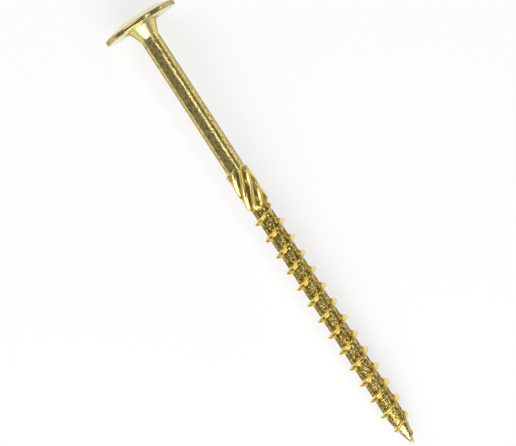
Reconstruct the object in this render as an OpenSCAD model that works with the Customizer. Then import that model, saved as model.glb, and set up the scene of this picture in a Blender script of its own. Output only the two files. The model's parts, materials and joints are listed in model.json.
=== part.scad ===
// Washer head wood screw with a reamer and a coarse right-hand thread.
// It is drawn on the Z axis, with the head's underside at zero and the point at the far end,
// and is then laid on a flat surface, where it rests on the head's rim and on one crest of the thread.

/* [Head] */
// Diameter of the washer head
head_d = 22.2; // [18:0.1:28]
// Height of the head's rim
rim_h = 1.5; // [1.1:0.1:2.5]
// Rounding of both edges of the rim
rim_round = 0.5; // [0.2:0.05:0.5]
// Rise of the crown above the rim
crown_h = 1.4; // [0.6:0.1:2.4]
// Diameter of the flat on top of the crown
crown_flat_d = 10; // [8:0.1:14]

/* [Drive recess] */
// Width of the recess across its lobes
lobe_d = 6.75; // [6:0.05:7.2]
// Width of the recess across its hollows
hollow_d = 4.85; // [4.4:0.05:5.4]
// Rounding of each lobe
lobe_round = 0.6; // [0.5:0.05:0.7]
// Depth of the recess below the crown's flat
recess_depth = 3.2; // [2:0.1:3.6]
// Width of the chamfer at the mouth of the recess
mouth_chamfer = 0.3; // [0.1:0.05:0.5]
// Diameter of the cone at the bottom of the recess
floor_cone_d = 4.2; // [3:0.1:4.3]
// Slope of the cone at the bottom of the recess
floor_cone_slope = 30; // [15:1:45]

/* [Neck and shank] */
// Length of the screw from the head's underside to the point
screw_len = 140; // [125:1:200]
// Diameter of the smooth shank
shank_d = 5.5; // [5:0.1:6.2]
// Diameter of the neck where it meets the head
neck_d = 9; // [8:0.1:10]
// Length of the neck's taper
neck_len = 3.8; // [2.5:0.1:6]
// Radius of the blend between the neck and the shank
neck_blend = 2; // [1:0.1:5]

/* [Reamer] */
// Diameter over the ribs
reamer_d = 6.9; // [6.3:0.1:7.8]
// Length of the ribs
reamer_len = 12.2; // [6:0.1:20]
// Bare length between the ribs and the start of the thread
reamer_gap = 0.3; // [0.1:0.1:4]
// Number of ribs
rib_count = 7; // [4:1:8]
// Length in which a rib would make one full turn
rib_lead = 40; // [25:1:80]
// Width of the crest of a rib
rib_crest_w = 0.5; // [0.3:0.05:0.7]
// Slope of a rib's flanks, measured from the radius
rib_flank = 40; // [20:1:45]
// Length of the ramp at each end of a rib
rib_ramp = 0.8; // [0.4:0.1:2]

/* [Thread] */
// Diameter over the thread
thread_d = 8; // [7:0.1:9.5]
// Diameter of the core between the turns
core_d = 5.1; // [4.4:0.1:5.4]
// Distance from one turn to the next
pitch = 5.4; // [3.6:0.1:6]
// Length of the thread with the point
thread_len = 80; // [50:1:100]
// Width of the thread's crest
crest_w = 0.25; // [0.1:0.05:0.5]
// Slope of the thread's flanks, measured from the radius
thread_flank = 22; // [15:1:30]
// Length in which the thread rises to its full height
thread_rise = 5; // [2:0.5:12]
// Length in which the thread runs out towards the point
thread_runout = 12.5; // [6:0.5:20]
// Angle at which the thread starts, from the side that faces down
thread_start_angle = 20; // [0:10:350]

/* [Point] */
// Length of the tapered point
point_len = 12; // [8:0.5:20]
// Bare length at the very end of the point
point_bare = 1.5; // [0.8:0.1:3]

/* [Hidden] */
$fn = 64;

// Straight pieces in each rounded stretch of an outline
arc_steps = 6;
// Sections of the thread in one turn
thread_steps = 36;
// Sections of a rib along its length
rib_steps = 22;
// Depth that a ridge's ends and feet lie below the surface that carries it
bury = 0.15;
// Length that a cutter reaches past the face it enters
cut_past = 0.5;
// Lobes of the drive recess
lobes = 6;
// Colour of the yellow zinc plating
plating = "#c8a64b";

head_r = head_d / 2;
head_h = rim_h + crown_h;
crown_flat_r = crown_flat_d / 2;
shank_r = shank_d / 2;
core_r = core_d / 2;

// The crown's arc meets its flat and the rim's rounding without a kink
crown_run = head_r - rim_round - crown_flat_r;
crown_r = (crown_run * crown_run + crown_h * crown_h) / (2 * crown_h) + rim_round;
crown_slope = asin(crown_run / (crown_r - rim_round));

// The neck's blend is tangent to its cone and to the shank
neck_slope = atan2(neck_d / 2 - shank_r, neck_len);
neck_end = neck_len + neck_blend * tan(neck_slope / 2);

// The point is an arc that leaves the core without a kink
thread_z = screw_len - thread_len;
point_z = screw_len - point_len;
point_r = (point_len * point_len + core_r * core_r) / (2 * core_r);

thread_h = thread_d / 2 - core_r;
thread_end = screw_len - point_bare;
thread_lean = atan2(pitch, PI * (thread_d + core_d) / 2);
thread_sections = floor((thread_end - thread_z) / pitch * thread_steps);

rib_h = reamer_d / 2 - shank_r;
rib_end = thread_z - reamer_gap;
rib_start = rib_end - reamer_len;
rib_lean = atan2(rib_lead, PI * (reamer_d + shank_d) / 2);

// Lobe and hollow arcs of the recess touch on the line between their centres
lobe_at = lobe_d / 2 - lobe_round;
lobe_half = 180 / lobes;
hollow_round = (lobe_round * lobe_round - hollow_d * hollow_d / 4 - lobe_at * lobe_at
    + lobe_at * hollow_d * cos(lobe_half)) / (hollow_d - 2 * lobe_at * cos(lobe_half) - 2 * lobe_round);
hollow_at = hollow_d / 2 + hollow_round;
lobe_turn = atan2(hollow_at * sin(lobe_half), hollow_at * cos(lobe_half) - lobe_at);

// Radius of the core at height z, with the point's arc
function core_at(z) =
    z < point_z ? core_r : sqrt(point_r * point_r - (z - point_z) * (z - point_z)) - point_r + core_r;

// Share of the thread's full height at height z: a square root at either end, so it swells quickly
function thread_share(z) =
    sqrt(max(0, min(1, (z - thread_z) / thread_rise, (thread_end - z) / thread_runout)));

// Radius of the thread's crest at height z
function crest_at(z) = core_at(z) - bury + (thread_h + bury) * thread_share(z);

// Share of a rib's full height at height z, with a straight ramp at either end
function rib_share(z) = max(0, min(1, (z - rib_start) / rib_ramp, (rib_end - z) / rib_ramp));

// Radius of a rib's crest at height z
function rib_crest_at(z) = shank_r - bury + (rib_h + bury) * rib_share(z);

// Points of an arc about a centre, from one angle to another
function arc(centre, r, from, to) =
    [for (i = [0 : arc_steps]) let (a = from + (to - from) * i / arc_steps) centre + r * [cos(a), sin(a)]];

// Points without the first, where an arc goes on from the one before it
function after_first(points) = [for (i = [1 : len(points) - 1]) points[i]];

// Points without the first and the last, where an arc lies between two others
function between_ends(points) = [for (i = [1 : len(points) - 2]) points[i]];

// Points turned about the origin
function turned(points, a) =
    [for (p = points) [p.x * cos(a) - p.y * sin(a), p.x * sin(a) + p.y * cos(a)]];

// Tilt at which the head's rim and a crest of radius r at height z touch the same flat surface
function tilt_on(z, r) =
    let (drop = head_r - rim_round - r, reach = rim_round + z)
    acos(-rim_round / norm([drop, reach])) - atan2(reach, drop);

// The screw lies on the crest that lets it tilt least, of those that point straight down
crest_half = crest_w / 2 * cos(thread_lean);
first_down = thread_z + pitch * (1 - thread_start_angle / 360);
tilt = min([for (z = [first_down : pitch : thread_end]) tilt_on(z + crest_half, crest_at(z))]);
rest_h = (head_r - rim_round) * cos(tilt) - rim_round * sin(tilt) + rim_round;
mid_x = (screw_len * cos(tilt) - head_h * cos(tilt) - crown_flat_r * sin(tilt)) / 2;

// Four corners of a ridge across its helix: foot, crest, crest and foot
function ridge_section(z, angle, lean, foot_r, crest_r, crest_w, flank) =
    let (foot_w = crest_w + 2 * (crest_r - foot_r) * tan(flank))
    [for (corner = [[-foot_w, foot_r], [-crest_w, crest_r], [crest_w, crest_r], [foot_w, foot_r]])
        let (across = corner.x / 2, turn = angle - across * sin(lean) / corner.y * 180 / PI)
        [corner.y * cos(turn), corner.y * sin(turn), z + across * cos(lean)]];

// Solid ridge through a row of sections
module ridge(sections) {
    last = len(sections) - 1;
    sides = [for (i = [0 : last - 1], j = [0 : 3])
        let (a = 4 * i + j, b = 4 * i + (j + 1) % 4)
        each [[a, b, b + 4], [a, b + 4, a + 4]]];
    ends = [[3, 2, 1, 0], [for (j = [0 : 3]) 4 * last + j]];
    polyhedron(points = [for (s = sections) each s], faces = concat(sides, ends), convexity = 10);
}

// Head, neck, shank, core and point as one turned body
module turned_body() {
    rotate_extrude() polygon(concat(
        [[0, -head_h]],
        arc([crown_flat_r, crown_r - head_h], crown_r, -90, crown_slope - 90),
        after_first(arc([head_r - rim_round, rim_round - rim_h], rim_round, crown_slope - 90, 0)),
        arc([head_r - rim_round, -rim_round], rim_round, 0, 90),
        [[neck_d / 2, 0]],
        arc([shank_r + neck_blend, neck_end], neck_blend, 180 + neck_slope, 180),
        [[shank_r, rib_end], [core_r, thread_z]],
        [for (i = [0 : arc_steps - 1]) let (z = point_z + point_len * i / arc_steps) [core_at(z), z]],
        [[0, screw_len]]
    ));
}

// Single-start right-hand thread
module thread() {
    ridge([for (i = [0 : thread_sections])
        let (z = thread_z + pitch * i / thread_steps, angle = thread_start_angle + 360 * i / thread_steps)
        ridge_section(z, angle, thread_lean, core_at(z) - 2 * bury, crest_at(z), crest_w, thread_flank)]);
}

// One steep rib of the reamer
module rib() {
    ridge([for (i = [0 : rib_steps])
        let (z = rib_start + reamer_len * i / rib_steps, angle = 360 * (z - rib_start) / rib_lead)
        ridge_section(z, angle, rib_lean, shank_r - 2 * bury, rib_crest_at(z), rib_crest_w, rib_flank)]);
}

// Outline of the six-lobe recess: a lobe and the hollow after it, repeated round the axis
module lobed_outline() {
    lobe = arc([lobe_at, 0], lobe_round, -lobe_turn, lobe_turn);
    hollow_centre = hollow_at * [cos(lobe_half), sin(lobe_half)];
    hollow = arc(hollow_centre, hollow_round, 180 + lobe_turn, 180 + 2 * lobe_half - lobe_turn);
    lobe_and_hollow = concat(lobe, between_ends(hollow));
    polygon([for (k = [0 : lobes - 1]) each turned(lobe_and_hollow, 2 * lobe_half * k)]);
}

// Cutter for the drive recess: the lobed hole, with a round cutter for its chamfered mouth and conical floor
module drive_recess() {
    floor_r = floor_cone_d / 2;
    floor_drop = floor_r * tan(floor_cone_slope);
    mouth_r = lobe_d / 2 + mouth_chamfer;
    translate([0, 0, -head_h]) {
        translate([0, 0, -cut_past]) linear_extrude(recess_depth + cut_past) lobed_outline();
        rotate_extrude() polygon([
            [0, -cut_past],
            [mouth_r + cut_past, -cut_past],
            [floor_r, mouth_r - floor_r],
            [floor_r, recess_depth],
            [0, recess_depth + floor_drop]
        ]);
    }
}

// The whole screw, laid down on its rim and its thread
module screw() {
    color(plating)
        translate([-mid_x, 0, rest_h]) rotate([0, 90 + tilt, 0]) difference() {
            union() {
                turned_body();
                thread();
                for (k = [0 : rib_count - 1]) rotate(360 * k / rib_count) rib();
            }
            drive_recess();
        }
}

screw();
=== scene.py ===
"""Washer head wood screw in yellow zinc, lying on a pale floor and seen from nearly straight above.

The screw is one closed surface. Every point of it is worked out in the screw's own frame, in
millimetres, as a height along the axis, an angle round it and a radius; the height is zero at the
head's underside and grows towards the point. The surface is then laid on the floor, in metres, at
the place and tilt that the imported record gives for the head's bearing face.
"""

import json
import math

import bpy
import numpy as np
from mathutils import Matrix, Vector


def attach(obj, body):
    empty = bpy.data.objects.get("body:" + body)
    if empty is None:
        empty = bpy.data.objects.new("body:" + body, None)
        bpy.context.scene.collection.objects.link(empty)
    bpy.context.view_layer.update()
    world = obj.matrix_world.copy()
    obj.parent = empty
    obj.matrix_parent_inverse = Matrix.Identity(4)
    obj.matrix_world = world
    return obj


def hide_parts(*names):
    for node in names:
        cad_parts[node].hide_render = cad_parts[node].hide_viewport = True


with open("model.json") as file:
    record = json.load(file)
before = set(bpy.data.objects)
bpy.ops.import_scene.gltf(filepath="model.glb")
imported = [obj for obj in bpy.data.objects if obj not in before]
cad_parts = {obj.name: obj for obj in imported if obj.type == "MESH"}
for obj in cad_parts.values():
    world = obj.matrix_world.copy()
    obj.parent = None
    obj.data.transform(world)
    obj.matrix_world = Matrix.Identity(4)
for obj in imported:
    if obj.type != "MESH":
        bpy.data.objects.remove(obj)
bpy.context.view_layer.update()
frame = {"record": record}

MM = 0.001
TURN = 2 * math.pi
HAIR = 1e-6

# Head: this and the next four groups are the sizes in the part's source, lengths in millimetres
HEAD_R = 11.1
RIM_H = 1.5
RIM_ROUND = 0.5
CROWN_H = 1.4
CROWN_FLAT_R = 5.0

# Drive recess
LOBES = 6
LOBE_D = 6.75
HOLLOW_D = 4.85
LOBE_ROUND = 0.6
RECESS_DEPTH = 3.2
MOUTH_CHAMFER = 0.3
FLOOR_CONE_R = 2.1
FLOOR_CONE_SLOPE = math.radians(30)

# Neck and shank
SCREW_LEN = 140.0
SHANK_R = 2.75
NECK_R = 4.5
NECK_LEN = 3.8
NECK_BLEND = 2.0

# Reamer
RIBS = 7
REAMER_R = 3.45
REAMER_LEN = 12.2
REAMER_GAP = 0.3
RIB_LEAD = 40.0
RIB_CREST_W = 0.5
RIB_RAMP = 0.8
RIB_FLANK = math.radians(40)

# Thread and point
THREAD_R = 4.0
CORE_R = 2.55
PITCH = 5.4
THREAD_LEN = 80.0
CREST_W = 0.25
THREAD_FLANK = math.radians(22)
THREAD_START = math.radians(20)
THREAD_RISE = 5.0
THREAD_RUNOUT = 12.5
POINT_LEN = 12.0
POINT_BARE = 1.5
BURY = 0.15

# Roundings that a rolled and plated screw has on its edges, in millimetres
RIB_FOOT_ROUND = 0.06
RIB_CREST_ROUND = 0.03
THREAD_FOOT_ROUND = 0.30
THREAD_CREST_ROUND = 0.07
NECK_FOOT = 0.19
EDGE = 0.05

# Places and slopes that follow from the sizes
HEAD_H = RIM_H + CROWN_H
MOUTH_R = LOBE_D / 2 + MOUTH_CHAMFER
THREAD_H = THREAD_R - CORE_R
THREAD_Z = SCREW_LEN - THREAD_LEN
THREAD_END = SCREW_LEN - POINT_BARE
POINT_Z = SCREW_LEN - POINT_LEN
POINT_R = (POINT_LEN ** 2 + CORE_R ** 2) / (2 * CORE_R)
RIB_H = REAMER_R - SHANK_R
RIB_END = THREAD_Z - REAMER_GAP
RIB_START = RIB_END - REAMER_LEN
NECK_SLOPE = math.atan2(NECK_R - SHANK_R, NECK_LEN)
NECK_END = NECK_LEN + NECK_BLEND * math.tan(NECK_SLOPE / 2)
THREAD_LEAN = math.atan2(PITCH, math.pi * (THREAD_R + CORE_R))
RIB_LEAN = math.atan2(RIB_LEAD, math.pi * (REAMER_R + SHANK_R))

# Columns of the mesh round the axis: a multiple of the ribs and of the lobes
COLUMNS = 126

# Rows of the mesh: shares of the recess's cone, radii on the crown's flat and the head's underside,
# counts of rows, and where the shank's last row lies before the ribs
CONE_SHARES = np.array([0, 0.05, 0.2, 0.45, 0.7, 0.92, 0.98])
FLAT_RADII = (MOUTH_R + EDGE, 4.2, CROWN_FLAT_R - 0.3)
UNDER_RADII = (HEAD_R - RIM_ROUND - 0.25, 9.6, 8.4, 7.2, 6.1, 5.2)
WALL_ROWS = 7
CROWN_ROWS = 14
UPPER_RIM_ROWS = 9
LOWER_RIM_ROWS = 11
FOOT_ROWS = 6
NECK_ROWS = 15
SHANK_ROWS = 46
SHANK_STOP = 0.3
REAMER_STEP = 0.2

# Lines of the mesh along the thread: distances from the crest line, close on the turn and wide on the core
TURN_LINES = np.array([0.0, 0.06, 0.115, 0.15, 0.20, 0.34, 0.50, 0.62, 0.70, 0.78, 0.88, 1.02])
CORE_LINES = np.array([1.5, 2.1, 2.7, 3.3, 3.9])
STRIP_LEAD = 1.0

# Rows of the mesh at the very point, as distances from its end
TIP_ROWS = np.array([0.9, 0.6, 0.35, 0.15, 0.05, 0.0])

# Decimals of a millimetre to which points that are merged agree
MERGE_DECIMALS = 6

# Stretches along the axis over which one finish gives way to the next, in millimetres
NECK_ENDS = (NECK_END - 0.5, NECK_END + 0.1)
SHANK_BEGINS = (NECK_END - 0.3, NECK_END + 0.3)
SHANK_ENDS = (RIB_START - 0.5, RIB_START + 0.5)
RIBS_BEGIN = (RIB_START, RIB_START + 1)
THREAD_BEGINS = (THREAD_Z - 0.6, THREAD_Z + 0.6)
TIP_BEGINS = (POINT_Z + 2.5, POINT_Z + 6)

# The same by the height above the turned body
CORE_ENDS = (0.04, 0.35)
ROOT_BEGINS = (0.02, 0.1)
ROOT_ENDS = (0.1, 0.35)
FLANK_BEGINS = (0.25, 0.5)
GROOVE_ENDS = (0.05, 0.3)
RIB_SIDE_BEGINS = (0.05, 0.2)
RIB_SIDE_ENDS = (0.5, 0.64)

# The same by the share of a ridge's full height
CREST_BEGINS = (0.9, 1.0)
RIB_CREST_BEGINS = (0.75, 1.0)

# The same by the distance from a turn's crest line: the hammered core begins farther off on the point's side
POINT_SIDE_BEGINS = (-0.1, 0.1)
HAMMERED_BEGINS = (0.9, 1.5)
HAMMERED_LAG = 0.4
# Painted light: the core is kept lighter close to a turn on the point's side, over this band of distance and
# by this share
PAINTED_LIGHT_ENDS = (1.0, 1.5)
PAINTED_LIGHT_SHARE = 0.7

# The same by the radius on the head
RIM_BEGINS = (HEAD_R - 0.45, HEAD_R - 0.1)
UNDERSIDE_BEGINS = (NECK_R + 0.2, NECK_R + 2)

# Shares of wear and of grain that the rim and the crown have
RIM_WEAR = 0.6
RIM_GRAIN = 0.7
CROWN_GRAIN = 0.12

# Colours of the plating, as linear red, green and blue; some of them are painted light and shade, as their
# own comments say
CLOUD_COLOURS = [
    (0.28, (0.66, 0.60, 0.22)),
    (0.45, (0.80, 0.66, 0.22)),
    (0.58, (0.83, 0.67, 0.24)),
    (0.74, (0.80, 0.55, 0.25)),
]
STREAK_OLIVE = (0.62, 0.49, 0.16)
FLANK_AMBER = (0.96, 0.71, 0.13)
# Painted light: a paler yellow that makes the flanks facing the head look more lit
HEAD_FLANK_PAINTED_LIGHT = (0.99, 0.89, 0.47)
# Dark brown: painted shade at the foot of the flanks that face the head, and dark mottled spots on the core
DEEP_BROWN = (0.24, 0.14, 0.02)
RIB_GOLD = (0.94, 0.74, 0.20)
RIB_SIDE_GOLD = (0.93, 0.76, 0.26)
# Painted shade: a dark brown for the grooves between the ribs
GROOVE_PAINTED_SHADE = (0.32, 0.22, 0.05)
RIB_TOP_AMBER = (0.92, 0.58, 0.04)
# Painted highlight: a pale line on the rounded edges of each rib's crest
RIB_EDGE_PAINTED_HIGHLIGHT = (1.0, 0.92, 0.56)
NECK_PALE = (0.90, 0.80, 0.40)
FACE_PALE = (0.93, 0.88, 0.62)
# Painted shade: a dull brown that darkens the rim of the head
RIM_PAINTED_SHADE = (0.36, 0.27, 0.09)
CORE_BRONZE = (0.50, 0.36, 0.10)
CORE_FRESH = (0.66, 0.56, 0.30)
# Painted highlight: a pale colour that whitens the core on the slender end of the point as if it shone
TIP_PAINTED_HIGHLIGHT = (0.92, 0.83, 0.56)
BLOOM_GREEN = (0.40, 0.44, 0.18)
BLOOM_ROSE = (0.84, 0.50, 0.26)
SPECK_BROWN = (0.28, 0.19, 0.05)
SPECK_PALE = (0.95, 0.84, 0.42)
WORN_PALE = (0.86, 0.78, 0.52)

# Edge tints of the metal: none, on round surfaces, on the flanks that face the point and on the rim
CLEAR_FILM = (1.0, 1.0, 1.0)
ROUND_FILM = (0.30, 0.24, 0.09)
FLANK_FILM = (0.40, 0.22, 0.03)
RIM_FILM = (0.25, 0.20, 0.08)

# Heights of the plating's relief, in millimetres
HAMMERED_RELIEF = 0.17
PEEL_RELIEF = 0.04
STREAK_RELIEF = 0.012
DRAW_RELIEF = 0.07
RIB_RELIEF = 0.05
SPECK_RELIEF = 0.035

# Floor, room and lamps, in metres and watts
FLOOR_HALF = 6.0
FLOOR_WHITE = (0.96, 0.96, 0.96)
FLOOR_ROUGH = 0.9
FLOOR_GLOW = 0.65
ROOM_COLOUR = (0.95, 0.97, 1.0, 1)
ROOM_STRENGTH = 0.28
MIDDLE = (0.0, 0.0, 0.0)
LONG_LAMP_AIM = (-0.02, 0.0, 0.0)
ALONG_SCREW = (1.0, 0.0, 0.0)
LAMPS = [
    dict(name="key", place=(0.55, -0.20, 0.55), aim=MIDDLE, width=0.6, length=0.9, power=5.0,
         along=(0.34, 0.94, 0.0)),
    dict(name="low_key", place=(0.64, -0.40, 0.24), aim=MIDDLE, width=0.3, length=0.4, power=0.85,
         along=(0.53, 0.85, 0.0)),
    dict(name="side", place=(-0.02, 0.30, 0.62), aim=LONG_LAMP_AIM, width=0.10, length=0.9, power=0.7,
         along=ALONG_SCREW),
    dict(name="low_side", place=(-0.02, 0.70, 0.14), aim=LONG_LAMP_AIM, width=0.10, length=0.9, power=0.45,
         along=ALONG_SCREW),
    dict(name="head_fill", place=(-0.62, -0.36, 0.55), aim=MIDDLE, width=0.55, length=0.7, power=2.6,
         along=(0.5, -0.87, 0.0)),
]

# Camera: its place in metres, and where the picture shows two places, in pixels from its top left corner
EYE = np.array([-0.0048, -0.0029, 0.505])
PICTURE_W = 516
PICTURE_H = 446
HEAD_SPOT = (142.0, 25.6)
POINT_SPOT = (414.2, 444.4)
SENSOR_MM = 36.0
NEAREST = 0.01
FARTHEST = 20.0


def smooth_max(a, b, blend):
    """The larger of a and b, plus a parabola where they lie within blend of each other."""
    return np.maximum(a, b) + np.maximum(blend - np.abs(a - b), 0) ** 2 / (4 * blend)


def smooth_min(a, b, blend):
    """The smaller of a and b, less a parabola where they lie within blend of each other."""
    return -smooth_max(-a, -b, blend)


def smooth_step(band, value):
    """Zero below the band, one above it, and a cubic with level ends inside it."""
    low, high = band
    t = np.clip((value - low) / (high - low), 0, 1)
    return t * t * (3 - 2 * t)


def turned_radius(z):
    """Radius of the turned body below the head: a cone, an arc that blends it into the shank, then the core.

    A straight step leads from the shank to the core, and an arc that leaves the core without a kink
    takes its radius down to nothing at the point.
    """
    cone = NECK_R - z * math.tan(NECK_SLOPE)
    up = np.clip(NECK_END - z, 0, NECK_BLEND)
    blend = SHANK_R + NECK_BLEND - np.sqrt(NECK_BLEND ** 2 - up ** 2)
    neck = np.where(z < NECK_END - NECK_BLEND * math.sin(NECK_SLOPE), cone, blend)
    step = np.interp(z, [RIB_END, THREAD_Z], [0.0, SHANK_R - CORE_R])
    past = np.clip(z - POINT_Z, 0, POINT_LEN)
    taper = POINT_R - np.sqrt(POINT_R ** 2 - past ** 2)
    return np.maximum(neck - step - taper, 0)


def ridge_radius(across, crest_r, crest_w, flank, crest_round):
    """Radius at a distance across a ridge: a level crest and straight flanks, rounded where they meet."""
    flank_r = crest_r - (np.abs(across) - crest_w / 2) / math.tan(flank)
    return smooth_min(np.broadcast_to(crest_r, flank_r.shape), flank_r, crest_round)


def rib_across(z, angle):
    """Distance square across the ribs from the nearest one's crest line, which turns once in RIB_LEAD."""
    off = (angle / TURN - (z - RIB_START) / RIB_LEAD) * RIBS
    return (off - np.round(off)) * TURN / RIBS * (SHANK_R + REAMER_R) / 2 * math.sin(RIB_LEAN)


def rib_radius(z, angle):
    """Radius of the nearest steep rib, which ramps down at both ends."""
    share = np.clip(np.minimum(z - RIB_START, RIB_END - z) / RIB_RAMP, 0, 1)
    crest_r = SHANK_R - BURY + (RIB_H + BURY) * share
    rib = ridge_radius(rib_across(z, angle), crest_r, RIB_CREST_W, RIB_FLANK, RIB_CREST_ROUND)
    return np.where(share > 0, rib, 0)


def thread_share(z):
    """Share of the thread's full height: the square root of a ramp at its start and of one at its end."""
    ramp = np.minimum((z - THREAD_Z) / THREAD_RISE, (THREAD_END - z) / THREAD_RUNOUT)
    return np.sqrt(np.clip(ramp, 0, 1))


def crest_height(z, angle):
    """Height of the thread's nearest crest line, which climbs one pitch in a turn."""
    lift = PITCH * (angle - THREAD_START) / TURN
    return THREAD_Z + lift + PITCH * np.round((z - THREAD_Z - lift) / PITCH)


def thread_radius(z, angle):
    """Radius of the nearest turn of the thread, measured square across its helix."""
    crest_z = crest_height(z, angle)
    share = thread_share(crest_z)
    crest_r = turned_radius(crest_z) - BURY + (THREAD_H + BURY) * share
    across = (z - crest_z) * math.cos(THREAD_LEAN)
    turn = ridge_radius(across, crest_r, CREST_W, THREAD_FLANK, THREAD_CREST_ROUND)
    return np.where(share > 0, turn, 0)


def surface_radius(z, angle):
    """Radius of the finished screw below the head: turned body, ribs and thread with filleted feet."""
    body = smooth_max(turned_radius(z), rib_radius(z, angle), RIB_FOOT_ROUND)
    r = smooth_max(body, thread_radius(z, angle), THREAD_FOOT_ROUND)
    return np.where(z >= SCREW_LEN, 0, r)


def lobed_radius(angle):
    """Radius of the six-lobe outline: the far side of a lobe's circle, or the near side of a hollow's.

    The two circles touch on the line between their centres, and that gives the hollow's radius.
    """
    half = math.pi / LOBES
    lobe_at = LOBE_D / 2 - LOBE_ROUND
    along = lobe_at * math.cos(half)
    hollow_round = LOBE_ROUND ** 2 - HOLLOW_D ** 2 / 4 - lobe_at ** 2 + along * HOLLOW_D
    hollow_round /= HOLLOW_D - 2 * along - 2 * LOBE_ROUND
    hollow_at = HOLLOW_D / 2 + hollow_round
    turn = math.atan2(hollow_at * math.sin(half), hollow_at * math.cos(half) - lobe_at)
    meet = math.atan2(LOBE_ROUND * math.sin(turn), lobe_at + LOBE_ROUND * math.cos(turn))
    a = np.abs((angle + half) % (2 * half) - half)
    b = half - a
    lobe = lobe_at * np.cos(a) + np.sqrt(np.maximum(LOBE_ROUND ** 2 - (lobe_at * np.sin(a)) ** 2, 0))
    hollow = hollow_at * np.cos(b) - np.sqrt(np.maximum(hollow_round ** 2 - (hollow_at * np.sin(b)) ** 2, 0))
    return np.where(a < meet, lobe, hollow)


def arc_rows(centre, r, start, end, count):
    """Rows (radius, height) on an arc about a centre, from one angle in degrees to another."""
    a = np.radians(np.linspace(start, end, count))
    return np.stack([centre[0] + r * np.cos(a), centre[1] + r * np.sin(a)], axis=1)


def level_rows(outline):
    """Each (radius, height) of an outline repeated for every column, so that it is the same all round."""
    return np.repeat(np.asarray(outline)[:, :, None], COLUMNS, axis=2)


def lobed_rows(r, z):
    """Rows whose radius or height changes from column to column."""
    return np.stack(np.broadcast_arrays(r, z), axis=1)


def recess_rows(lobed):
    """Rows of the drive recess, from the middle of its floor up to its mouth.

    A cone rises to the floor's ledge, which reaches out to the lobed outline. The wall follows that
    outline, and the chamfer of the mouth is a cone that cuts it, so it ends lower at the hollows.
    """
    top = -HEAD_H
    floor = top + RECESS_DEPTH
    halves = np.array([[0.0], [0.5], [1.0]])
    cone_r = FLOOR_CONE_R * CONE_SHARES
    cone_z = floor + (FLOOR_CONE_R - cone_r) * math.tan(FLOOR_CONE_SLOPE)
    ledge_r = FLOOR_CONE_R + EDGE + halves * (lobed - FLOOR_CONE_R - 2 * EDGE)
    wall_low = floor - EDGE
    wall_high = top + MOUTH_R - lobed + EDGE
    wall_z = wall_low + (wall_high - wall_low) * np.linspace(0, 1, WALL_ROWS)[:, None]
    mouth_r = lobed + EDGE / 2 + (MOUTH_R - lobed - EDGE) * halves
    return np.concatenate([
        level_rows(np.stack([cone_r, cone_z], axis=1)),
        lobed_rows(ledge_r, floor),
        lobed_rows(lobed, wall_z),
        lobed_rows(mouth_r, top + MOUTH_R - mouth_r),
    ])


def flange_rows():
    """Rows of the flange: crown's flat and arc, the rim's two roundings, underside and the neck's foot.

    The crown's arc meets its flat and the rim's rounding without a kink. The neck's foot is a
    quadratic curve from the underside to the neck's cone.
    """
    rim_in = HEAD_R - RIM_ROUND
    run = rim_in - CROWN_FLAT_R
    crown_r = (run ** 2 + CROWN_H ** 2) / (2 * CROWN_H) + RIM_ROUND
    slope = math.degrees(math.asin(run / (crown_r - RIM_ROUND)))
    corner = np.array([NECK_R, 0.0])
    foot_out = corner + [NECK_FOOT, 0]
    foot_in = corner + NECK_FOOT * np.array([-math.sin(NECK_SLOPE), math.cos(NECK_SLOPE)])
    t = np.linspace(0, 1, FOOT_ROWS)[:, None]
    return level_rows(np.concatenate([
        [(r, -HEAD_H) for r in FLAT_RADII],
        arc_rows((CROWN_FLAT_R, crown_r - HEAD_H), crown_r, -90, slope - 90, CROWN_ROWS),
        arc_rows((rim_in, RIM_ROUND - RIM_H), RIM_ROUND, slope - 90, 0, UPPER_RIM_ROWS)[1:],
        arc_rows((rim_in, -RIM_ROUND), RIM_ROUND, 0, 90, LOWER_RIM_ROWS),
        [(r, 0.0) for r in UNDER_RADII],
        (1 - t) ** 2 * foot_out + 2 * t * (1 - t) * corner + t ** 2 * foot_in,
    ]))


def ring_points(r, z, angle):
    """Points in the screw's frame from a radius, a height and an angle."""
    return np.stack([r * np.cos(angle), r * np.sin(angle), z], axis=-1)


def body_points(heights, angles):
    """Points on the screw below the head: one row for each height, at that row's own column angles."""
    z = np.broadcast_to(heights[:, None], angles.shape)
    return ring_points(surface_radius(z, angles), z, angles)


def cell_triangles(index, beside):
    """Two triangles for every cell, turned outwards, from the numbers of its corners in two columns."""
    a, b, c, d = index[:-1], beside[:-1], beside[1:], index[1:]
    first = np.stack([a, b, c], axis=-1).reshape(-1, 3)
    second = np.stack([a, c, d], axis=-1).reshape(-1, 3)
    return np.concatenate([first, second])


def grid_surface(points, closed):
    """Points of a grid in one list, and its triangles; a closed grid joins its last column to its first."""
    index = np.arange(points.size // 3).reshape(points.shape[:2])
    if closed:
        faces = cell_triangles(index, np.roll(index, -1, axis=1))
    else:
        faces = cell_triangles(index[:, :-1], index[:, 1:])
    return points.reshape(-1, 3), faces


def thread_strip(low, high, first_angle):
    """Points of a strip that winds with the thread, one pitch wide, between rings at heights low and high.

    Its lines run along the helix, so crests and roots stay crisp. Each line keeps a fixed distance
    from the crest, and points past a ring are moved onto it, where they are merged later.
    """
    last_line = PITCH - TURN_LINES[-1]
    lines = np.concatenate([-TURN_LINES[:0:-1], TURN_LINES, CORE_LINES, [last_line]])
    first_z = THREAD_Z + PITCH * (first_angle - THREAD_START) / TURN
    start = math.floor((low - lines[-1] - first_z) / PITCH * COLUMNS)
    end = math.ceil((high - lines[0] - first_z) / PITCH * COLUMNS)
    step = np.arange(start, end + 1)
    angle = np.broadcast_to((first_angle + TURN * step / COLUMNS)[None, :], (len(lines), len(step)))
    z = np.clip(first_z + PITCH * step[None, :] / COLUMNS + lines[:, None], low, high)
    return ring_points(surface_radius(z, angle), z, angle)


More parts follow.
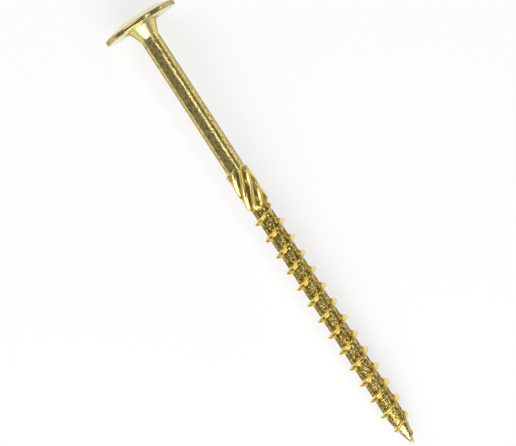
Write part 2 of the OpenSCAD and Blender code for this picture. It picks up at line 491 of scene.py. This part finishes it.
def joined(surfaces):
    """One surface from several, with points at one place merged and triangles that lose a side dropped."""
    firsts = np.cumsum([0] + [len(points) for points, _ in surfaces])
    points = np.concatenate([points for points, _ in surfaces])
    faces = np.concatenate([faces + first for (_, faces), first in zip(surfaces, firsts)])
    places = np.round(points, MERGE_DECIMALS)
    _, keep, same = np.unique(places, axis=0, return_index=True, return_inverse=True)
    faces = same.reshape(-1)[faces]
    whole = np.all(faces != np.roll(faces, 1, axis=1), axis=1)
    return points[keep], faces[whole]


def screw_surface():
    """Points and triangles of the whole screw: head, neck and shank, reamer, threaded strip and point.

    In the reamer the columns turn with the ribs, and what follows goes on from their last angle.
    """
    level = TURN * np.arange(COLUMNS) / COLUMNS
    head_rows = np.concatenate([recess_rows(lobed_radius(level)), flange_rows()])
    head = ring_points(head_rows[:, 0], head_rows[:, 1], np.broadcast_to(level, head_rows[:, 0].shape))

    neck_z = np.linspace(NECK_FOOT * math.cos(NECK_SLOPE), NECK_END, NECK_ROWS)[1:]
    shank_z = np.linspace(NECK_END, RIB_START - SHANK_STOP, SHANK_ROWS)[1:]
    reamer_z = np.arange(RIB_START - REAMER_STEP, THREAD_Z - STRIP_LEAD, REAMER_STEP)
    below_z = np.concatenate([neck_z, shank_z, reamer_z])
    twist = TURN * np.maximum(below_z - RIB_START, 0) / RIB_LEAD
    below = body_points(below_z, level[None, :] + twist[:, None])

    tip_z = SCREW_LEN - TIP_ROWS
    strip = thread_strip(reamer_z[-1], tip_z[0], twist[-1])
    tip = body_points(tip_z, np.broadcast_to(level + twist[-1], (len(tip_z), COLUMNS)))
    return joined([
        grid_surface(np.concatenate([head, below]), closed=True),
        grid_surface(strip, closed=False),
        grid_surface(tip, closed=True),
    ])


def laid_down(points):
    """Points in metres on the floor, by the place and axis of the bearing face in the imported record."""
    face = next(m for m in frame["record"]["mounts"] if m["name"] == "bearing_face")
    along = np.array(face["axis"]) / np.linalg.norm(face["axis"])
    side = np.array([0.0, 1.0, 0.0])
    down = np.cross(side, along)
    start = np.array([face["pos_m"][0], 0.0, face["pos_m"][2]])
    return start + MM * (points @ np.stack([down, side, along]))


def thread_marks(z, angle, proud):
    """Shares of the thread's surfaces, by the height above the core and the distance from the crest line.

    The core is the low ground between the turns, less so close to a turn on the point's side, where it
    is kept lighter as painted light. The hammered core lies away from both turns. The flanks are the
    sides of a turn, the head flank is the one that faces the head, and the root is its foot, which
    carries painted shade. The tip is the core on the slender end of the point, which carries a painted
    highlight.
    """
    on_thread = smooth_step(THREAD_BEGINS, z)
    past_crest = z - crest_height(z, angle)
    from_crest = np.abs(past_crest)
    point_side = smooth_step(POINT_SIDE_BEGINS, past_crest)
    low = on_thread * (1 - smooth_step(CORE_ENDS, proud))
    # Painted light: less of the core's darker colour close to a turn on the point's side
    core = low * (1 - PAINTED_LIGHT_SHARE * point_side * (1 - smooth_step(PAINTED_LIGHT_ENDS, from_crest)))
    crest = on_thread * smooth_step(CREST_BEGINS, proud / THREAD_H)
    flank = on_thread * smooth_step(FLANK_BEGINS, proud) * (1 - crest)
    root = on_thread * smooth_step(ROOT_BEGINS, proud) * (1 - smooth_step(ROOT_ENDS, proud))
    return {
        "core": core,
        "hammered": low * smooth_step(HAMMERED_BEGINS, from_crest - HAMMERED_LAG * point_side),
        "crest": crest,
        "flank": flank,
        "head_flank": flank * (1 - point_side),
        "root": root * (1 - point_side),
        "tip": core * smooth_step(TIP_BEGINS, z),
    }


def reamer_marks(z, angle, proud):
    """Shares of the ribbed stretch, its crests, sides and grooves, and the distance from a crest line."""
    ribbed = smooth_step(RIBS_BEGIN, z) * (1 - smooth_step(THREAD_BEGINS, z))
    side = smooth_step(RIB_SIDE_BEGINS, proud) * (1 - smooth_step(RIB_SIDE_ENDS, proud))
    return {
        "ribbed": ribbed,
        "rib_crest": ribbed * smooth_step(RIB_CREST_BEGINS, proud / RIB_H),
        "rib_side": ribbed * side,
        "groove": ribbed * (1 - smooth_step(GROOVE_ENDS, proud)),
        "rib_off": np.abs(rib_across(z, angle)),
    }


def head_marks(r, z):
    """Shares of the rim, the crown, both faces of the flange, and the neck with what lies level with it."""
    rim = smooth_step(RIM_BEGINS, r) * (z < 0)
    crown = (z < -RIM_ROUND) * (r > MOUTH_R - EDGE)
    underside = (z > -RIM_ROUND) * (z < HAIR) * smooth_step(UNDERSIDE_BEGINS, r)
    neck = (z >= -HAIR) * (1 - smooth_step(NECK_ENDS, z)) * (r < HEAD_R - 2 * RIM_ROUND)
    return {
        "rim": rim,
        "crown": crown,
        "face": np.maximum(crown, underside) * (1 - rim),
        "neck": neck,
    }


def surface_marks(points):
    """What the plating reads at each point: its place in the screw's frame and the surfaces it lies on.

    Edges that wear are the crests of the thread and the ribs, and the rim in part. Surfaces with
    grain are the drawn shank, and the rim and the crown in part.
    """
    r = np.hypot(points[:, 0], points[:, 1])
    z = points[:, 2]
    angle = np.arctan2(points[:, 1], points[:, 0])
    proud = r - turned_radius(np.maximum(z, 0))
    drawn = smooth_step(SHANK_BEGINS, z) * (1 - smooth_step(SHANK_ENDS, z))
    marks = {"screw_mm": points, "drawn": drawn}
    marks.update(thread_marks(z, angle, proud))
    marks.update(reamer_marks(z, angle, proud))
    marks.update(head_marks(r, z))
    rim = marks["rim"]
    marks["edge"] = np.maximum.reduce([marks.pop("crest"), marks.pop("rib_crest"), RIM_WEAR * rim])
    marks["grain"] = np.maximum.reduce([drawn, RIM_GRAIN * rim, CROWN_GRAIN * marks.pop("crown")])
    return marks


def mesh_piece(name, points, faces, marks, finish):
    """An object at the origin from points, outward triangles and named values at each point."""
    mesh = bpy.data.meshes.new(name)
    mesh.vertices.add(len(points))
    mesh.vertices.foreach_set("co", points.astype(np.float32).ravel())
    mesh.loops.add(faces.size)
    mesh.loops.foreach_set("vertex_index", faces.astype(np.int32).ravel())
    mesh.polygons.add(len(faces))
    mesh.polygons.foreach_set("loop_start", np.arange(0, faces.size, 3, dtype=np.int32))
    mesh.polygons.foreach_set("use_smooth", np.ones(len(faces), dtype=bool))
    for mark, values in marks.items():
        kind, field = ("FLOAT_VECTOR", "vector") if values.ndim == 2 else ("FLOAT", "value")
        carried = mesh.attributes.new(mark, kind, "POINT")
        carried.data.foreach_set(field, values.astype(np.float32).ravel())
    mesh.update(calc_edges=True)
    mesh.validate()
    mesh.materials.append(finish)
    piece = bpy.data.objects.new(name, mesh)
    bpy.context.scene.collection.objects.link(piece)
    return piece


class Finish:
    """A node material that is put together one node at a time."""

    def __init__(self, name):
        self.material = bpy.data.materials.new(name)
        self.material.use_nodes = True
        self.tree = self.material.node_tree
        self.tree.nodes.clear()
        self.out = self.tree.nodes.new("ShaderNodeOutputMaterial")

    def feed(self, socket, value):
        """Link an output into a socket, or set the socket to a number, a vector or a colour."""
        if isinstance(value, bpy.types.NodeSocket):
            self.tree.links.new(value, socket)
        elif socket.type == "RGBA":
            socket.default_value = (*value, 1)
        else:
            socket.default_value = value

    def node(self, kind, inputs=None, **settings):
        """A node with its settings and what goes into its sockets."""
        made = self.tree.nodes.new(kind)
        for key, value in settings.items():
            setattr(made, key, value)
        for key, value in (inputs or {}).items():
            self.feed(made.inputs[key], value)
        return made

    def mark(self, name, output="Fac"):
        """A value that the piece carries at its points."""
        return self.node("ShaderNodeAttribute", attribute_name=name).outputs[output]

    def noise(self, place, scale, stretch=(1, 1, 1), detail=2.0, rough=0.5, shift=(0, 0, 0)):
        """Noise from 0 to 1, with scale in bumps for each millimetre."""
        mapped = self.node("ShaderNodeMapping", {"Vector": place, "Scale": stretch, "Location": shift})
        inputs = {"Vector": mapped.outputs[0], "Scale": scale, "Detail": detail, "Roughness": rough}
        return self.node("ShaderNodeTexNoise", inputs).outputs["Fac"]

    def ramp(self, value, start, end, first=0.0, last=1.0):
        """A straight change from first, where the value is at start, to last, where it is at end."""
        inputs = {"Value": value, "From Min": start, "From Max": end, "To Min": first, "To Max": last}
        return self.node("ShaderNodeMapRange", inputs).outputs[0]

    def math(self, operation, a, b):
        """Sum, product or other pair operation; each side is a link or a number."""
        return self.node("ShaderNodeMath", {0: a, 1: b}, operation=operation).outputs[0]

    def times(self, a, b):
        """Product of two values."""
        return self.math("MULTIPLY", a, b)

    def total(self, first, *others):
        """Sum of all values."""
        for value in others:
            first = self.math("ADD", first, value)
        return first

    def largest(self, first, *others):
        """Largest of all values."""
        for value in others:
            first = self.math("MAXIMUM", first, value)
        return first

    def tint(self, value, stops):
        """A colour ramp with (place, colour) stops."""
        ramp = self.node("ShaderNodeValToRGB", {"Fac": value})
        elements = ramp.color_ramp.elements
        while len(elements) < len(stops):
            elements.new(0.5)
        for element, (at, colour) in zip(elements, stops):
            element.position = at
            element.color = (*colour, 1)
        return ramp.outputs["Color"]

    def layered(self, colour, layers):
        """A colour that is turned into the colour of each (share, colour) layer in order, by its share."""
        for share, over in layers:
            made = self.node("ShaderNodeMix", data_type="RGBA", blend_type="MIX")
            under_socket, over_socket = (s for s in made.inputs if s.type == "RGBA")
            self.feed(made.inputs["Factor"], share)
            self.feed(under_socket, colour)
            self.feed(over_socket, over)
            colour = next(s for s in made.outputs if s.type == "RGBA")
        return colour

    def shown(self, shader):
        """The finished material, with a shader node as its surface."""
        self.tree.links.new(shader.outputs[0], self.out.inputs["Surface"])
        return self.material


def yellow_zinc():
    """Bright yellow zinc: gold that drifts to green and rose, with drawn streaks and a mottled hammered core.

    The colour is a row of layers over the gold. Each one's share is a mark of the surface, times a
    number or a ramp on a noise. Some layers are painted light and shade: the paled head flanks, the
    lighter core close to a turn on the point's side, the paled tip, the pale lines beside the rib
    crests, and the darkened thread root, rib grooves and rim. The roughness and the relief are sums
    of such products. The metal's edge tint dims what round surfaces, flanks and the rim mirror at a
    low angle.
    """
    f = Finish("yellow_zinc_plating")
    place = f.mark("screw_mm", "Vector")
    core = f.mark("core")
    hammered = f.mark("hammered")
    flank = f.mark("flank")
    head_flank = f.mark("head_flank")
    ribbed = f.mark("ribbed")
    rib_off = f.mark("rib_off")
    drawn = f.mark("drawn")
    neck = f.mark("neck")
    face = f.mark("face")
    rim = f.mark("rim")
    grain = f.mark("grain")

    cloud = f.noise(place, 0.22, stretch=(1, 1, 0.6), detail=3.0)
    streak = f.noise(place, 5.0, stretch=(1, 1, 0.03))
    draw = f.noise(place, 1.3, stretch=(1, 1, 0.012), detail=1.0, shift=(3, 1, 0))
    mottle = f.noise(place, 1.7, stretch=(1, 1, 0.8), detail=2.5, rough=0.55)
    fine = f.noise(place, 7.0)
    speck = f.noise(place, 1.6, stretch=(1, 1, 0.7), detail=4.0, rough=0.6, shift=(7, 2, 5))
    bloom = f.noise(place, 1.1, stretch=(1, 1, 0.7), detail=3.0, shift=(1, 9, 4))
    peel = f.noise(place, 2.2, stretch=(1, 1, 0.7))

    rib_top = f.times(ribbed, f.ramp(rib_off, 0.26, 0.30, first=1.0, last=0.0))
    # Painted highlight: a band on the rounded edges just past each rib's crest, which a layer below pales
    past_top = f.times(f.ramp(rib_off, 0.25, 0.29), f.ramp(rib_off, 0.36, 0.41, first=1.0, last=0.0))
    rib_highlight_line = f.times(ribbed, past_top)
    gold = f.layered(f.tint(cloud, CLOUD_COLOURS), [
        (f.ramp(streak, 0.35, 0.75, last=0.35), STREAK_OLIVE),
        (flank, FLANK_AMBER),
        # Painted light: the flanks that face the head are paled, as if more lit
        (f.times(head_flank, 0.8), HEAD_FLANK_PAINTED_LIGHT),
        # Painted shade: the foot of each flank that faces the head is darkened
        (f.times(f.mark("root"), 0.9), DEEP_BROWN),
        (f.times(ribbed, 0.7), RIB_GOLD),
        (f.times(f.mark("rib_side"), 0.8), RIB_SIDE_GOLD),
        # Painted shade: the grooves between the ribs are darkened
        (f.times(f.mark("groove"), 0.9), GROOVE_PAINTED_SHADE),
        (rib_top, RIB_TOP_AMBER),
        # Painted highlight: pale lines beside each rib's crest
        (rib_highlight_line, RIB_EDGE_PAINTED_HIGHLIGHT),
        (f.times(neck, 0.5), NECK_PALE),
        (f.times(face, 0.65), FACE_PALE),
        # Painted shade: the rim is darkened
        (f.times(rim, 0.6), RIM_PAINTED_SHADE),
        (f.times(core, 0.7), CORE_BRONZE),
        (f.times(core, f.ramp(mottle, 0.54, 0.45, last=0.9)), DEEP_BROWN),
        (f.times(hammered, f.ramp(mottle, 0.54, 0.66, last=0.6)), CORE_FRESH),
        # Painted highlight: the core on the slender end of the point is paled in spots of the noise
        (f.times(f.mark("tip"), f.ramp(mottle, 0.40, 0.58, last=0.65)), TIP_PAINTED_HIGHLIGHT),
        (f.times(grain, f.ramp(bloom, 0.50, 0.38, last=0.65)), BLOOM_GREEN),
        (f.times(grain, f.ramp(bloom, 0.52, 0.64, last=0.65)), BLOOM_ROSE),
        (f.times(grain, f.ramp(speck, 0.50, 0.38, last=0.7)), SPECK_BROWN),
        (f.times(grain, f.ramp(speck, 0.54, 0.66, last=0.5)), SPECK_PALE),
        (f.times(f.mark("edge"), f.ramp(fine, 0.45, 0.62, last=0.55)), WORN_PALE),
    ])

    rough = f.total(
        f.ramp(streak, 0.3, 0.7, first=0.10, last=0.17),
        f.times(hammered, f.ramp(mottle, 0.35, 0.65, first=0.16, last=0.06)),
        f.times(neck, 0.16),
        f.times(head_flank, 0.25),
        f.times(f.largest(rib_top, rib_highlight_line), 0.2),
    )

    relief = f.total(
        f.times(hammered, f.times(f.math("SUBTRACT", mottle, 0.5), HAMMERED_RELIEF)),
        f.times(peel, PEEL_RELIEF),
        f.times(drawn, f.total(f.times(streak, STREAK_RELIEF), f.times(draw, DRAW_RELIEF))),
        f.times(ribbed, f.times(mottle, RIB_RELIEF)),
        f.times(grain, f.times(speck, SPECK_RELIEF)),
    )
    bump = f.node("ShaderNodeBump", {"Height": relief, "Strength": 1.0, "Distance": MM})

    bare_neck = f.times(neck, f.math("SUBTRACT", 1.0, face))
    film = f.layered(CLEAR_FILM, [
        (f.largest(drawn, core, ribbed, bare_neck), ROUND_FILM),
        (f.math("SUBTRACT", flank, head_flank), FLANK_FILM),
        (f.times(rim, 0.6), RIM_FILM),
    ])

    return f.shown(f.node("ShaderNodeBsdfPrincipled", {
        "Base Color": gold,
        "Metallic": 1.0,
        "Roughness": rough,
        "Normal": bump.outputs["Normal"],
        "Specular Tint": film,
    }))


def white_floor():
    """White matt that also glows white for the eye and in mirrors, so that shade lies softly on it."""
    f = Finish("white_floor")
    matt = f.node("ShaderNodeBsdfPrincipled", {"Base Color": FLOOR_WHITE, "Roughness": FLOOR_ROUGH})
    glow = f.node("ShaderNodeEmission", {"Strength": 1.0})
    ray = f.node("ShaderNodeLightPath").outputs
    seen = f.largest(ray["Is Camera Ray"], ray["Is Glossy Ray"], ray["Is Transmission Ray"])
    share = f.times(seen, FLOOR_GLOW)
    return f.shown(f.node("ShaderNodeMixShader", {0: share, 1: matt.outputs[0], 2: glow.outputs[0]}))


def pale_floor():
    """A square of floor about the origin, at the height of zero."""
    corners = [(x * FLOOR_HALF, y * FLOOR_HALF, 0) for x, y in ((-1, -1), (1, -1), (1, 1), (-1, 1))]
    mesh = bpy.data.meshes.new("floor")
    mesh.from_pydata(corners, [], [(0, 1, 2, 3)])
    mesh.materials.append(white_floor())
    floor = bpy.data.objects.new("floor", mesh)
    bpy.context.scene.collection.objects.link(floor)


def lamp(name, place, aim, width, length, power, along):
    """A soft rectangular lamp at a place, facing a point, with its length turned towards a direction."""
    data = bpy.data.lights.new(name, "AREA")
    data.shape = "RECTANGLE"
    data.size = length
    data.size_y = width
    data.energy = power
    made = bpy.data.objects.new(name, data)
    back = (Vector(place) - Vector(aim)).normalized()
    right = (Vector(along) - Vector(along).dot(back) * back).normalized()
    up = back.cross(right)
    made.matrix_world = Matrix.Translation(place) @ Matrix((right, up, back)).transposed().to_4x4()
    bpy.context.scene.collection.objects.link(made)


def studio_light():
    """A dim room with five lamps: two past the point, two long ones at the side and one past the head."""
    world = bpy.data.worlds.new("dim_room")
    world.use_nodes = True
    room = world.node_tree.nodes["Background"]
    room.inputs["Color"].default_value = ROOM_COLOUR
    room.inputs["Strength"].default_value = ROOM_STRENGTH
    bpy.context.scene.world = world
    for facts in LAMPS:
        lamp(**facts)


def square_axes(a, b):
    """Three square unit columns: a, the normal of a and b, and the one square to both."""
    normal = np.cross(a, b) / np.linalg.norm(np.cross(a, b))
    return np.stack([a, normal, np.cross(a, normal)], axis=1)


def camera_above():
    """A camera nearly above the screw's middle, with the head and the point at two spots of the picture.

    The head's spot is the middle of its underside. The angle between the two sight lines has to be
    the same in the picture as in the room, and that gives the focal length in pixels as the root of
    a quadratic in its square. The turn that carries one pair of sight lines onto the other is then
    the camera's.
    """
    away = laid_down(np.array([[0.0, 0.0, 0.0], [0.0, 0.0, SCREW_LEN]])) - EYE
    away /= np.linalg.norm(away, axis=1, keepdims=True)
    spots = np.array([HEAD_SPOT, POINT_SPOT]) * [1, -1] + [-PICTURE_W / 2, PICTURE_H / 2]
    share = (away[0] @ away[1]) ** 2
    (aa, ab), (_, bb) = spots @ spots.T
    quadratic = [1 - share, 2 * ab - share * (aa + bb), ab ** 2 - share * aa * bb]
    focal = math.sqrt(np.roots(quadratic).real.max())
    sight = np.column_stack([spots, [-focal, -focal]])
    sight /= np.linalg.norm(sight, axis=1, keepdims=True)
    data = bpy.data.cameras.new("camera")
    data.sensor_width = SENSOR_MM
    data.lens = focal * SENSOR_MM / PICTURE_W
    data.clip_start = NEAREST
    data.clip_end = FARTHEST
    camera = bpy.data.objects.new("camera", data)
    turn = square_axes(*away) @ square_axes(*sight).T
    camera.matrix_world = Matrix.Translation(EYE) @ Matrix(turn.tolist()).to_4x4()
    bpy.context.scene.collection.objects.link(camera)
    bpy.context.scene.camera = camera


points, faces = screw_surface()
screw = mesh_piece("plated_screw", laid_down(points), faces, surface_marks(points), yellow_zinc())
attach(screw, "root")
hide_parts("screw")

pale_floor()
studio_light()
camera_above()
bpy.context.scene.view_settings.view_transform = "Standard"
